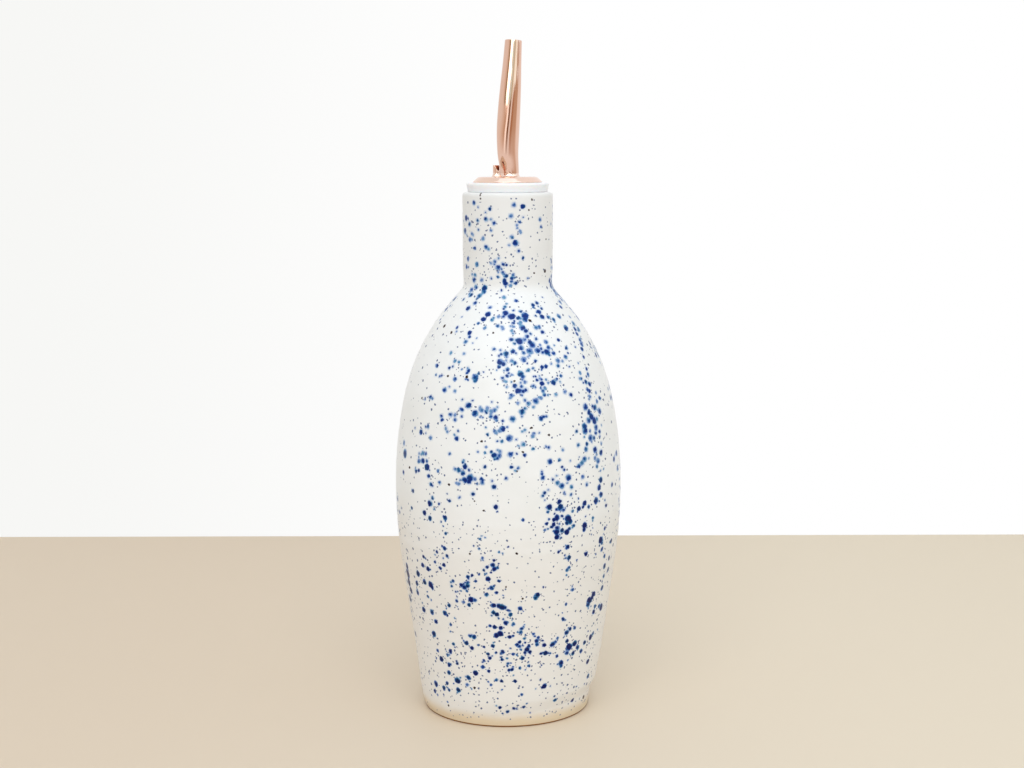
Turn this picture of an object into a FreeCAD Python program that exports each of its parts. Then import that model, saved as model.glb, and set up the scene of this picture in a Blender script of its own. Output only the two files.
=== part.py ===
import FreeCAD, Part
import math
import os

from FreeCAD import Vector

# Driving dimensions in millimetres. The foot stands on z = 0, the bottle's axis is Z,
# and the spout pours towards +X.

# Bottle: stoneware thrown in one piece, with a trimmed foot and a straight neck
BOTTLE_HEIGHT = 208.7
FOOT_RADIUS = 33.3
FOOT_EDGE_BEVEL = 0.5
FOOT_RING_WIDTH = 5.0
FOOT_RECESS_DEPTH = 2.0
FOOT_TOP = (34.2, 5.4)
TRIM_STEP = (35.9, 10.4)
FLOOR_THICKNESS = 6.5
FLOOR_CORNER_ROUND = 8.5
WALL_THICKNESS = 5.0
# The side is a straight flare, then three arcs that run into one another
BELLY_RADIUS = 45.5
BELLY_HEIGHT = 92.0
LOWER_BELLY_CURVE = 225.0
UPPER_BELLY_CURVE = 168.0
SHOULDER_CURVE = 84.0
SHOULDER_START_HEIGHT = 128.0
SHOULDER_END_HEIGHT = 166.0
NECK_ROOT_RADIUS = 17.55
NECK_ROOT_ROUND = 6.0
NECK_START = (17.9, 180.0)
NECK_RADIUS = 17.95
NECK_BORE_RADIUS = 13.2
BORE_ROOT_ROUND = 9.0
RIM_OUTER_ROUND = 1.4
RIM_INNER_ROUND = 1.0

# Stopper: white silicone moulding, a lip that sits on the rim and a plug with ring fins
LIP_BOTTOM_RADIUS = 15.7
LIP_TOP_RADIUS = 16.5
LIP_HEIGHT = 3.7
LIP_TOP_ROUND = 0.9
LIP_BOTTOM_BEVEL = 0.3
BOSS_RADIUS = 11.0
PLUG_LENGTH = 26.0
PLUG_CORE_RADIUS = 10.4
PLUG_END_CHAMFER = 1.5
FIN_CLEARANCE = 0.15
FIN_COUNT = 4
FIRST_FIN_DEPTH = 3.9
FIN_PITCH = 5.6
FIN_ROOT_HALF_THICKNESS = 1.1
FIN_EDGE_HALF_THICKNESS = 0.45

# Cap disc: plated sheet pressed to a low dish, with a collar drawn up round each tube
DISC_RADIUS = 13.7
DISC_FLAT_RADIUS = 11.6
DISC_EDGE_HEIGHT = 0.35
DISC_HEIGHT = 2.3
DISC_SHEET = 0.8
SPOUT_COLLAR_FOOT = 4.6
SPOUT_COLLAR_TOP = 4.0
SPOUT_COLLAR_HEIGHT = 1.3
AIR_COLLAR_FOOT = 2.3
AIR_COLLAR_TOP = 1.75
AIR_COLLAR_HEIGHT = 1.6

# Spout tube: straight in the stopper, then oval, gently curved and tapered to the tip
SPOUT_X = 1.1
SPOUT_RADIUS = 3.7
SPOUT_WALL = 0.4
SPOUT_TAIL = 1.5
# Sections above the disc: height of the centre, its x, half depth along X, half width
SPOUT_SECTIONS = [(224.0, 0.2, 4.45, 3.85), (232.5, 0.3, 4.9, 4.05), (241.0, 0.95, 4.8, 4.05),
                  (250.0, 1.8, 4.35, 3.9), (258.5, 2.6, 3.8, 3.6), (267.8, 3.4, 3.35, 3.35)]

# Air tube: thin straight tube behind the spout, hanging into the neck, with a slanted
# notch cut in one side of its top
AIR_X = -6.1
AIR_RADIUS = 1.45
AIR_WALL = 0.35
AIR_TOP = 219.2
AIR_NOTCH_START = -0.2
AIR_NOTCH_DROP = 2.8
AIR_TAIL = 22.0

# How far a cut runs past the face it opens, and how close two sizes are to count as one
CUT_MARGIN = 1.0
SAME = 0.01


def at(radius, height):
    return Vector(radius, 0, height)


def line(start, end):
    return Part.LineSegment(start, end).toShape()


def revolved(edges):
    """Turn a closed outline in the XZ plane into a solid about the Z axis."""
    outline = Part.Wire(Part.__sortEdges__(edges))
    return Part.Face(outline).revolve(Vector(0, 0, 0), Vector(0, 0, 1), 360)


def turned(points):
    """Revolve a closed outline with straight sides, given as (radius, height) points."""
    corners = [at(radius, height) for radius, height in points]
    sides = [line(start, end) for start, end in zip(corners, corners[1:] + corners[:1])]
    return revolved(sides)


def round_edge(solid, amount, radius, height):
    """Round the circular edge that lies at this radius and height."""
    found = []
    for edge in solid.Edges:
        if not isinstance(edge.Curve, Part.Circle):
            continue
        same_radius = abs(edge.Curve.Radius - radius) < SAME
        same_height = abs(edge.Curve.Center.z - height) < SAME
        if same_radius and same_height:
            found.append(edge)
    return solid.makeFillet(amount, found)


def rod(radius, x, bottom, top):
    return Part.makeCylinder(radius, top - bottom, Vector(x, 0, bottom))


def rounded(before, corner, after, radius):
    """The arc that rounds a corner between two straight runs, as start, middle and end."""
    to_before = (before - corner).normalize()
    to_after = (after - corner).normalize()
    half = to_before.getAngle(to_after) / 2
    reach = radius / math.tan(half)
    centre = corner + (to_before + to_after).normalize() * (radius / math.sin(half))
    middle = centre + (corner - centre).normalize() * radius
    return corner + to_before * reach, middle, corner + to_after * reach


def on_arc(centre, radius, angle):
    """A point of an arc, at this angle above the level of its centre."""
    return centre + Vector(radius * math.cos(angle), 0, radius * math.sin(angle))


def side(inset):
    """The bottle's side from the trimmed foot to the neck, or its inside one wall in.

    Gives the edges, the straight flare's foot, and the slope's start and direction.
    """
    lower_centre = at(BELLY_RADIUS - LOWER_BELLY_CURVE, BELLY_HEIGHT)
    upper_centre = at(BELLY_RADIUS - UPPER_BELLY_CURVE, BELLY_HEIGHT)

    # The flare touches the lower arc where a line from the trimmed step is square to it
    step = at(*TRIM_STEP)
    away = step - lower_centre
    flare_angle = math.atan2(away.z, away.x) + math.acos(LOWER_BELLY_CURVE / away.Length)
    square = on_arc(at(0, 0), 1, flare_angle)
    flare_foot = step - square * inset

    rise = (SHOULDER_START_HEIGHT - BELLY_HEIGHT) / UPPER_BELLY_CURVE
    shoulder_angle = math.asin(rise)
    shoulder_start = on_arc(upper_centre, UPPER_BELLY_CURVE, shoulder_angle)
    shoulder_centre = shoulder_start - on_arc(at(0, 0), SHOULDER_CURVE, shoulder_angle)
    end_rise = (SHOULDER_END_HEIGHT - shoulder_centre.z) / SHOULDER_CURVE
    end_angle = math.asin(end_rise)

    edges = []
    start = flare_foot
    arcs = [
        (lower_centre, LOWER_BELLY_CURVE - inset, flare_angle, 0),
        (upper_centre, UPPER_BELLY_CURVE - inset, 0, shoulder_angle),
        (shoulder_centre, SHOULDER_CURVE - inset, shoulder_angle, end_angle),
    ]
    first = on_arc(arcs[0][0], arcs[0][1], flare_angle)
    edges.append(line(start, first))
    for centre, radius, angle, next_angle in arcs:
        ends = [on_arc(centre, radius, angle), on_arc(centre, radius, next_angle)]
        middle = on_arc(centre, radius, (angle + next_angle) / 2)
        edges.append(Part.Arc(ends[0], middle, ends[1]).toShape())
    slope = Vector(-math.sin(end_angle), 0, math.cos(end_angle))
    return edges, flare_foot, ends[1], slope


def slope_to(start, slope, radius):
    """Where a slope that starts here reaches this radius."""
    return start + slope * ((radius - start.x) / slope.x)


def make_bottle():
    rim = BOTTLE_HEIGHT
    recess_radius = FOOT_RADIUS - FOOT_RING_WIDTH
    floor_top = FOOT_RECESS_DEPTH + FLOOR_THICKNESS

    outside, step, shoulder_end, slope = side(0)
    neck_root = slope_to(shoulder_end, slope, NECK_ROOT_RADIUS)
    root_arc = rounded(shoulder_end, neck_root, at(*NECK_START), NECK_ROOT_ROUND)

    inside, flare_foot, inner_end, slope = side(WALL_THICKNESS)
    bore_root = slope_to(inner_end, slope, NECK_BORE_RADIUS)
    bore_arc = rounded(inner_end, bore_root, at(NECK_BORE_RADIUS, rim), BORE_ROOT_ROUND)

    # The floor meets the wall in a quarter round, as a potter's finger leaves it
    up_wall = inside[0].Vertexes[-1].Point - flare_foot
    wall_foot = flare_foot - up_wall * ((flare_foot.z - floor_top) / up_wall.z)
    floor_arc = rounded(at(0, floor_top), wall_foot, flare_foot + up_wall, FLOOR_CORNER_ROUND)

    edges = [
        line(at(0, FOOT_RECESS_DEPTH), at(recess_radius, FOOT_RECESS_DEPTH)),
        line(at(recess_radius, FOOT_RECESS_DEPTH), at(recess_radius, FOOT_EDGE_BEVEL)),
        line(at(recess_radius, FOOT_EDGE_BEVEL), at(recess_radius + FOOT_EDGE_BEVEL, 0)),
        line(at(recess_radius + FOOT_EDGE_BEVEL, 0), at(FOOT_RADIUS - FOOT_EDGE_BEVEL, 0)),
        line(at(FOOT_RADIUS - FOOT_EDGE_BEVEL, 0), at(FOOT_RADIUS, FOOT_EDGE_BEVEL)),
        line(at(FOOT_RADIUS, FOOT_EDGE_BEVEL), at(*FOOT_TOP)),
        line(at(*FOOT_TOP), step),
        *outside,
        line(shoulder_end, root_arc[0]),
        Part.Arc(*root_arc).toShape(),
        line(root_arc[2], at(*NECK_START)),
        line(at(*NECK_START), at(NECK_RADIUS, rim)),
        line(at(NECK_RADIUS, rim), at(NECK_BORE_RADIUS, rim)),
        line(at(NECK_BORE_RADIUS, rim), bore_arc[2]),
        Part.Arc(*bore_arc).toShape(),
        line(bore_arc[0], inner_end),
        *inside[1:],
        line(inside[0].Vertexes[-1].Point, floor_arc[2]),
        Part.Arc(*floor_arc).toShape(),
        line(floor_arc[0], at(0, floor_top)),
        line(at(0, floor_top), at(0, FOOT_RECESS_DEPTH)),
    ]
    bottle = revolved(edges)
    bottle = round_edge(bottle, RIM_OUTER_ROUND, NECK_RADIUS, rim)
    return round_edge(bottle, RIM_INNER_ROUND, NECK_BORE_RADIUS, rim)


def make_fin(height):
    """One tapered ring of the plug, thin at the edge that seals in the neck."""
    reach = NECK_BORE_RADIUS - FIN_CLEARANCE
    root = PLUG_CORE_RADIUS - FIN_EDGE_HALF_THICKNESS
    return turned([
        (0, height - FIN_ROOT_HALF_THICKNESS),
        (root, height - FIN_ROOT_HALF_THICKNESS),
        (reach, height - FIN_EDGE_HALF_THICKNESS),
        (reach, height + FIN_EDGE_HALF_THICKNESS),
        (root, height + FIN_ROOT_HALF_THICKNESS),
        (0, height + FIN_ROOT_HALF_THICKNESS),
    ])


def make_stopper():
    rim = BOTTLE_HEIGHT
    lip_top = rim + LIP_HEIGHT
    lip = turned([
        (0, rim),
        (LIP_BOTTOM_RADIUS - LIP_BOTTOM_BEVEL, rim),
        (LIP_BOTTOM_RADIUS, rim + LIP_BOTTOM_BEVEL),
        (LIP_TOP_RADIUS, lip_top),
        (0, lip_top),
    ])
    lip = round_edge(lip, LIP_TOP_ROUND, LIP_TOP_RADIUS, lip_top)
    boss = rod(BOSS_RADIUS, 0, rim, lip_top + DISC_HEIGHT - DISC_SHEET)

    plug_end = rim - PLUG_LENGTH
    core = turned([
        (0, plug_end),
        (PLUG_CORE_RADIUS - PLUG_END_CHAMFER, plug_end),
        (PLUG_CORE_RADIUS, plug_end + PLUG_END_CHAMFER),
        (PLUG_CORE_RADIUS, rim),
        (0, rim),
    ])
    first_fin = rim - FIRST_FIN_DEPTH
    fins = [make_fin(first_fin - FIN_PITCH * number) for number in range(FIN_COUNT)]
    stopper = lip.fuse([boss, core] + fins).removeSplitter()

    hole_bottom = plug_end - CUT_MARGIN
    hole_top = lip_top + DISC_HEIGHT + CUT_MARGIN
    spout_hole = rod(SPOUT_RADIUS, SPOUT_X, hole_bottom, hole_top)
    air_hole = rod(AIR_RADIUS, AIR_X, hole_bottom, hole_top)
    return stopper.cut([spout_hole, air_hole])


def make_collar(x, foot_radius, top_radius, height):
    """A short cone of sheet drawn up from the disc round a tube."""
    base = BOTTLE_HEIGHT + LIP_HEIGHT + DISC_HEIGHT
    return Part.makeCone(foot_radius, top_radius, height, Vector(x, 0, base))


def make_cap_disc():
    base = BOTTLE_HEIGHT + LIP_HEIGHT
    top = base + DISC_HEIGHT
    under = top - DISC_SHEET
    disc = turned([
        (0, under),
        (BOSS_RADIUS, under),
        (BOSS_RADIUS, base),
        (DISC_RADIUS, base),
        (DISC_RADIUS, base + DISC_EDGE_HEIGHT),
        (DISC_FLAT_RADIUS, top),
        (0, top),
    ])
    collars = [
        make_collar(SPOUT_X, SPOUT_COLLAR_FOOT, SPOUT_COLLAR_TOP, SPOUT_COLLAR_HEIGHT),
        make_collar(AIR_X, AIR_COLLAR_FOOT, AIR_COLLAR_TOP, AIR_COLLAR_HEIGHT),
    ]
    hole_bottom = base - CUT_MARGIN
    hole_top = top + SPOUT_COLLAR_HEIGHT + CUT_MARGIN
    holes = [
        rod(SPOUT_RADIUS, SPOUT_X, hole_bottom, hole_top),
        rod(AIR_RADIUS, AIR_X, hole_bottom, hole_top),
    ]
    return disc.fuse(collars).removeSplitter().cut(holes)


def spout_section(centre, axis, half_depth, half_width):
    """An oval across the tube, longer along the pouring direction."""
    across = Vector(0, 1, 0)
    along = across.cross(axis).normalize()
    if half_depth - half_width < SAME:
        ring = Part.Circle(centre, axis, half_depth)
        ring.XAxis = along
        return Part.Wire(ring.toShape())
    oval = Part.Ellipse(centre + along * half_depth, centre + across * half_width, centre)
    return Part.Wire(oval.toShape())


def spout_body(start_height, shrink):
    """The spout's outer form, or with shrink its bore, from its collar to the tip."""
    centreline = Part.BSplineCurve()
    start = Vector(SPOUT_X, 0, start_height)
    centres = [start] + [Vector(x, 0, height) for height, x, depth, width in SPOUT_SECTIONS]
    centreline.interpolate(Points=centres, InitialTangent=Vector(0, 0, 1),
                           FinalTangent=centres[-1] - centres[-2])
    sizes = [(SPOUT_RADIUS, SPOUT_RADIUS)]
    sizes += [(depth, width) for height, x, depth, width in SPOUT_SECTIONS]
    sections = []
    for centre, (depth, width) in zip(centres, sizes):
        axis = centreline.tangent(centreline.parameter(centre))[0]
        sections.append(spout_section(centre, axis, depth - shrink, width - shrink))
    return Part.makeLoft(sections, True, False)


def make_spout_tube():
    collar_top = BOTTLE_HEIGHT + LIP_HEIGHT + DISC_HEIGHT + SPOUT_COLLAR_HEIGHT
    tail = BOTTLE_HEIGHT - PLUG_LENGTH - SPOUT_TAIL
    outer_tail = rod(SPOUT_RADIUS, SPOUT_X, tail, collar_top)
    bore_tail = rod(SPOUT_RADIUS - SPOUT_WALL, SPOUT_X, tail, collar_top)
    outer = outer_tail.fuse(spout_body(collar_top, 0))
    bore = bore_tail.fuse(spout_body(collar_top, SPOUT_WALL))
    return outer.cut(bore).removeSplitter()


def make_air_tube():
    tail = BOTTLE_HEIGHT - PLUG_LENGTH - AIR_TAIL
    bore = rod(AIR_RADIUS - AIR_WALL, AIR_X, tail, AIR_TOP)
    tube = rod(AIR_RADIUS, AIR_X, tail, AIR_TOP).cut(bore)
    slant = math.degrees(math.atan2(AIR_NOTCH_DROP, AIR_RADIUS + AIR_NOTCH_START))
    size = 6 * AIR_RADIUS
    corner = Vector(AIR_X - size / 2, AIR_NOTCH_START - size, AIR_TOP)
    knife = Part.makeBox(size, size, size, corner)
    knife.rotate(Vector(AIR_X, AIR_NOTCH_START, AIR_TOP), Vector(1, 0, 0), slant)
    return tube.cut(knife)


os.makedirs("parts", exist_ok=True)
shapes = {
    "bottle": make_bottle(),
    "stopper": make_stopper(),
    "cap_disc": make_cap_disc(),
    "spout_tube": make_spout_tube(),
    "air_tube": make_air_tube(),
}
for name, shape in shapes.items():
    shape.exportStep("parts/" + name + ".step")
    box = shape.BoundBox
    print(name, shape.isValid(), len(shape.Solids), "volume", round(shape.Volume),
          "z", round(box.ZMin, 2), round(box.ZMax, 2), "x", round(box.XMin, 2), round(box.XMax, 2))
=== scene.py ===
import math
import random

import bpy
import numpy as np
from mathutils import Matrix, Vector, bvhtree, kdtree


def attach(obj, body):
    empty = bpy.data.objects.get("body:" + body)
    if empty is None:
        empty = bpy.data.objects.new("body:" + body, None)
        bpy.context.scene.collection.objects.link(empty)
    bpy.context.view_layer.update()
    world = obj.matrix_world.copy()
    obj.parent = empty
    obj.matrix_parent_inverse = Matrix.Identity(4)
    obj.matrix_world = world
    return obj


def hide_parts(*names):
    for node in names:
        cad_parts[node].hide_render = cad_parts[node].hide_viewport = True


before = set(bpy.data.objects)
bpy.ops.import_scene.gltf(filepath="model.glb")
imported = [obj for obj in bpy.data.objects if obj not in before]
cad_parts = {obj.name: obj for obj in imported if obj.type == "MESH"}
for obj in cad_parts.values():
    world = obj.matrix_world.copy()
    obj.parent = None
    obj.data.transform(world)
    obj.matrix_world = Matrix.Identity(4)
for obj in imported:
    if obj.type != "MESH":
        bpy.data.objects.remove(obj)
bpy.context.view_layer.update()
scene = bpy.context.scene

# Camera: it stands a little higher than the rim, 670 mm from the bottle's axis and on the
# side away from the spout's mouth, and looks slightly down. The photograph's frame is 1024
# by 768 pixels, and its lens makes 1680 pixels of a thing as wide as it is far away.
mm = 0.001
photo_width = 1024
photo_height = 768
focal_pixels = 1680
sensor_width = 36
camera_distance = 670 * mm
camera_height = 224.3 * mm
camera_side = math.radians(-45)
camera_aim_right = math.radians(0.15)
camera_pitch = math.radians(7.86)
camera_roll = math.radians(0.11)

looking = Vector((-math.sin(camera_side), math.cos(camera_side), 0))
aim_heading = camera_side - camera_aim_right

camera_data = bpy.data.cameras.new("camera")
camera_data.lens = focal_pixels / photo_width * sensor_width
camera_data.sensor_width = sensor_width
camera = bpy.data.objects.new("camera", camera_data)
camera.location = -looking * camera_distance
camera.location.z = camera_height
camera.rotation_mode = "XYZ"
camera.rotation_euler = (math.pi / 2 - camera_pitch, camera_roll, aim_heading)
scene.collection.objects.link(camera)
scene.camera = camera
scene.view_settings.view_transform = "Standard"
bpy.context.view_layer.update()

# Floor and backdrop: a plain pale floor, and a white backdrop 300 mm behind the bottle that
# shows only from the front. Neither is part of the object.
backdrop_distance = 300 * mm
backdrop_half_width = 2500 * mm
backdrop_height = 2500 * mm
floor_half_width = 650 * mm
floor_half_depth = 450 * mm


def colour(red, green, blue):
    """A colour given as it looks on screen, 0 to 255, as the linear one a shader takes."""
    linear = []
    for value in (red, green, blue):
        share = value / 255
        linear.append(share / 12.92 if share <= 0.04045 else ((share + 0.055) / 1.055) ** 2.4)
    return (*linear, 1.0)


def add(tree, kind, inputs=None, **settings):
    """Add a shader node. A value that is another node's output is linked, others are set."""
    node = tree.nodes.new(kind)
    for name, value in settings.items():
        setattr(node, name, value)
    for name, value in (inputs or {}).items():
        if isinstance(value, bpy.types.NodeSocket):
            tree.links.new(value, node.inputs[name])
        else:
            node.inputs[name].default_value = value
    return node


def calculate(tree, operation, *values):
    """A Math node's result."""
    inputs = {place: value for place, value in enumerate(values)}
    return add(tree, "ShaderNodeMath", inputs, operation=operation).outputs[0]


def fade(tree, value, start, end, low=0.0, high=1.0):
    """A smooth change from low to high as the value goes from start to end."""
    inputs = {"Value": value, "From Min": start, "From Max": end, "To Min": low, "To Max": high}
    node = add(tree, "ShaderNodeMapRange", inputs, interpolation_type="SMOOTHSTEP")
    return node.outputs["Result"]


def blended(tree, share, first, second):
    """The first colour where share is 0, the second where it is 1."""
    node = add(tree, "ShaderNodeMix", {0: share, 6: first, 7: second}, data_type="RGBA")
    return node.outputs[2]


def seen_directly(tree):
    """1 for rays that come straight from the camera or off gloss or through glass."""
    path = add(tree, "ShaderNodeLightPath").outputs
    shown = calculate(tree, "MAXIMUM", path["Is Camera Ray"], path["Is Glossy Ray"])
    return calculate(tree, "MAXIMUM", shown, path["Is Transmission Ray"])


def new_material(name):
    material = bpy.data.materials.new(name)
    material.use_nodes = True
    material.node_tree.nodes.clear()
    return material, material.node_tree


def flat_piece(name, corners, material):
    mesh = bpy.data.meshes.new(name)
    mesh.from_pydata(corners, [], [tuple(range(len(corners)))])
    mesh.materials.append(material)
    piece = bpy.data.objects.new(name, mesh)
    scene.collection.objects.link(piece)
    return piece


def pale_floor():
    """A little paler towards the right, which is painted light."""
    material, tree = new_material("pale_floor")
    place = add(tree, "ShaderNodeTexCoord").outputs["Object"]
    to_right = add(tree, "ShaderNodeVectorMath", {0: place, 1: across},
                   operation="DOT_PRODUCT").outputs["Value"]
    # Painted light: the floor is paler towards the right, where more light falls
    shade = blended(tree, fade(tree, to_right, -200 * mm, 200 * mm),
                    colour(219, 202, 181), colour(228, 215, 195))
    shader = add(tree, "ShaderNodeBsdfPrincipled", {
        "Base Color": shade,
        "Roughness": 0.55,
        "Specular IOR Level": 0.3,
    })
    add(tree, "ShaderNodeOutputMaterial", {"Surface": shader.outputs[0]})
    return material


def white_backdrop():
    """A little whiter towards the right, which is painted light. Seen from behind, it isn't there."""
    material, tree = new_material("white_backdrop")
    paint = add(tree, "ShaderNodeBsdfDiffuse", {"Color": colour(240, 240, 238)})
    place = add(tree, "ShaderNodeTexCoord").outputs["Object"]
    to_right = add(tree, "ShaderNodeVectorMath", {0: place, 1: across},
                   operation="DOT_PRODUCT").outputs["Value"]
    # Painted light: the backdrop is whiter towards the right
    shade = blended(tree, fade(tree, to_right, -300 * mm, 60 * mm),
                    colour(247, 247, 245), colour(255, 255, 255))
    shown = add(tree, "ShaderNodeEmission", {"Color": shade, "Strength": 1.0})
    front = add(tree, "ShaderNodeMixShader", {0: seen_directly(tree), 1: paint.outputs[0],
                                              2: shown.outputs[0]})
    clear = add(tree, "ShaderNodeBsdfTransparent")
    behind = add(tree, "ShaderNodeNewGeometry").outputs["Backfacing"]
    surface = add(tree, "ShaderNodeMixShader", {0: behind, 1: front.outputs[0],
                                                2: clear.outputs[0]})
    add(tree, "ShaderNodeOutputMaterial", {"Surface": surface.outputs[0]})
    return material


across = Vector((looking.y, -looking.x, 0))
up = Vector((0, 0, 1))
backdrop_foot = looking * backdrop_distance
backdrop_side = across * backdrop_half_width
backdrop_rise = up * backdrop_height
floor_side = across * floor_half_width
floor_depth = looking * floor_half_depth
flat_piece("floor", [-floor_side - floor_depth, floor_side - floor_depth,
                     floor_side + floor_depth, floor_depth - floor_side], pale_floor())
flat_piece("backdrop", [backdrop_foot - backdrop_side, backdrop_foot + backdrop_side,
                        backdrop_foot + backdrop_side + backdrop_rise,
                        backdrop_foot - backdrop_side + backdrop_rise], white_backdrop())

# Light: one large soft lamp high in front of the bottle, and pale light from all round, a
# little cooler and stronger on the right. Behind the camera, bright panels with darker bands
# between them fade in above the table's edge. Camera, metal and glass see the same world.
lamp_size = 1300 * mm
lamp_distance = 1500 * mm
lamp_power = 9
lamp_left = math.radians(3)
lamp_elevation = math.radians(48)
surrounding_light = 0.80
# Heights round about are given as the sine of the angle above the horizon
panels_foot = -0.26
panels_full = 0.05
low_bands_top = 0.205
low_bands_edge = 0.005
low_bands_fall = 0.066
low_bands_lean = 1.6
overhead_start = 0.5
overhead_full = 0.7


def soft_lamp():
    lamp_data = bpy.data.lights.new("soft_lamp", "AREA")
    lamp_data.size = lamp_size
    lamp_data.energy = lamp_power
    lamp = bpy.data.objects.new("soft_lamp", lamp_data)
    level = -looking * math.cos(lamp_left) - across * math.sin(lamp_left)
    direction = level * math.cos(lamp_elevation) + up * math.sin(lamp_elevation)
    lamp.location = direction * lamp_distance
    lamp.rotation_mode = "QUATERNION"
    lamp.rotation_quaternion = direction.to_track_quat("Z", "Y")
    scene.collection.objects.link(lamp)


def bands(tree, angle, colours):
    """Colours side by side, given with their angle to the right of the camera, -180 to 180."""
    share = fade_evenly(tree, angle, -math.pi, math.pi)
    node = add(tree, "ShaderNodeValToRGB", {"Fac": share})
    elements = node.color_ramp.elements
    elements.remove(elements[-1])
    elements[0].color = (*colours[0][1], 1)
    for degrees, shade in colours[1:]:
        elements.new((degrees + 180) / 360).color = (*shade, 1)
    return node.outputs["Color"]


def fade_evenly(tree, value, start, end):
    inputs = {"Value": value, "From Min": start, "From Max": end}
    return add(tree, "ShaderNodeMapRange", inputs).outputs["Result"]


def surroundings():
    world = bpy.data.worlds.new("surroundings")
    world.use_nodes = True
    tree = world.node_tree
    tree.nodes.clear()
    direction = add(tree, "ShaderNodeTexCoord").outputs["Generated"]
    to_front = add(tree, "ShaderNodeVectorMath", {0: direction, 1: -looking},
                   operation="DOT_PRODUCT").outputs["Value"]
    to_right = add(tree, "ShaderNodeVectorMath", {0: direction, 1: across},
                   operation="DOT_PRODUCT").outputs["Value"]
    angle = calculate(tree, "ARCTAN2", to_right, to_front)
    height = add(tree, "ShaderNodeSeparateXYZ", {0: direction}).outputs["Z"]

    white = (1.0, 1.0, 1.0)
    pale = (0.92, 0.91, 0.88)
    cool = (1.15, 1.38, 1.5)
    cream = (1.25, 1.5, 1.5)
    bright = (1.4, 1.45, 1.45)
    panel = (3.0, 3.0, 3.0)
    dark = (0.26, 0.13, 0.06)
    dusk = (0.38, 0.33, 0.22)
    brown = (0.5, 0.28, 0.16)
    tan = (0.64, 0.47, 0.34)
    warm = (0.82, 0.7, 0.6)
    ochre = (0.75, 0.78, 0.62)
    grey = (0.78, 0.78, 0.72)
    mist = (0.76, 0.98, 0.95)
    low = [
        (-180, white), (-85, pale), (-48, warm), (-26, tan), (-20, tan), (-12, bright),
        (0, bright), (4, dark), (17, dark), (22, white), (32, white), (36, brown),
        (50, brown), (56, tan), (86, tan), (94, warm), (102, warm), (110, grey),
        (116, grey), (122, cool), (180, white),
    ]
    high = [
        (-180, white), (-75, pale), (-55, warm), (-48, warm), (-42, dusk), (-23, dusk),
        (-17, panel), (0, panel), (6, mist), (21, mist), (27, ochre), (37, ochre),
        (44, cream), (66, cream), (71, brown), (75, brown), (81, cool), (117, cool),
        (180, white),
    ]
    leaning = calculate(tree, "MULTIPLY", height, -low_bands_lean)
    low = bands(tree, calculate(tree, "ADD", angle, leaning), low)
    high = bands(tree, angle, high)
    fallen = calculate(tree, "MULTIPLY", angle, low_bands_fall)
    above = fade(tree, calculate(tree, "ADD", height, fallen),
                 low_bands_top - low_bands_edge, low_bands_top + low_bands_edge)
    panels = blended(tree, above, low, high)
    overhead = blended(tree, fade(tree, to_right, -0.2, 0.6), (1.2, 1.32, 1.4, 1),
                       (1.4, 1.6, 1.72, 1))
    panels = blended(tree, fade(tree, height, overhead_start, overhead_full), panels, overhead)

    in_sight = blended(tree, fade(tree, height, panels_foot, panels_full),
                       (*white, 1), panels)
    in_view = add(tree, "ShaderNodeBackground", {"Color": in_sight, "Strength": 1.0})
    daylight = blended(tree, fade(tree, height, -0.1, 0.05),
                       colour(225, 220, 214), colour(247, 252, 255))
    strength = fade(tree, to_right, -1, 1, 0.92 * surrounding_light, 1.08 * surrounding_light)
    on_surfaces = add(tree, "ShaderNodeBackground", {"Color": daylight, "Strength": strength})
    seen = add(tree, "ShaderNodeMixShader", {0: seen_directly(tree), 1: on_surfaces.outputs[0],
                                             2: in_view.outputs[0]})
    add(tree, "ShaderNodeOutputWorld", {"Surface": seen.outputs[0]})
    scene.world = world


soft_lamp()
surroundings()

# Bottle: stoneware thrown in one piece on the wheel, with its foot trimmed on a slant and
# its neck left straight for the stopper. It is dipped in satin white glaze, which stops
# just above the table, and is flicked all over with cobalt from a loaded brush.
bottle_height = 208.7 * mm
foot_radius = 33.3 * mm
foot_edge_round = 0.6 * mm
foot_ring_width = 5.0 * mm
foot_recess_depth = 2.0 * mm
foot_top = Vector((34.2, 5.4)) * mm
foot_top_round = 3.0 * mm
trim_step = Vector((35.9, 10.4)) * mm
trim_step_round = 12.0 * mm
trim_slant = 2.5 * mm
foot_off_centre = 0.8 * mm
floor_top = 8.5 * mm
floor_corner_round = 8.5 * mm
wall_thickness = 5.0 * mm
belly_radius = 45.5 * mm
belly_height = 92.0 * mm
lower_belly_curve = 225.0 * mm
upper_belly_curve = 168.0 * mm
shoulder_curve = 84.0 * mm
shoulder_start_height = 128.0 * mm
shoulder_end_height = 166.0 * mm
neck_root_radius = 17.55 * mm
neck_root_round = 6.0 * mm
neck_start = Vector((17.9, 180.0)) * mm
neck_radius = 17.95 * mm
neck_bore_radius = 13.2 * mm
bore_root_round = 9.0 * mm
rim_outer_round = 1.4 * mm
rim_inner_round = 1.0 * mm
steps_around = 192
row_spacing = 1.5 * mm


def on_arc(centre, radius, angle):
    return centre + Vector((math.cos(angle), math.sin(angle))) * radius


def arc_points(centre, radius, start, end):
    count = max(4, math.ceil(abs(end - start) * radius / row_spacing))
    return [on_arc(centre, radius, start + (end - start) * step / count)
            for step in range(count + 1)]


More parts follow.
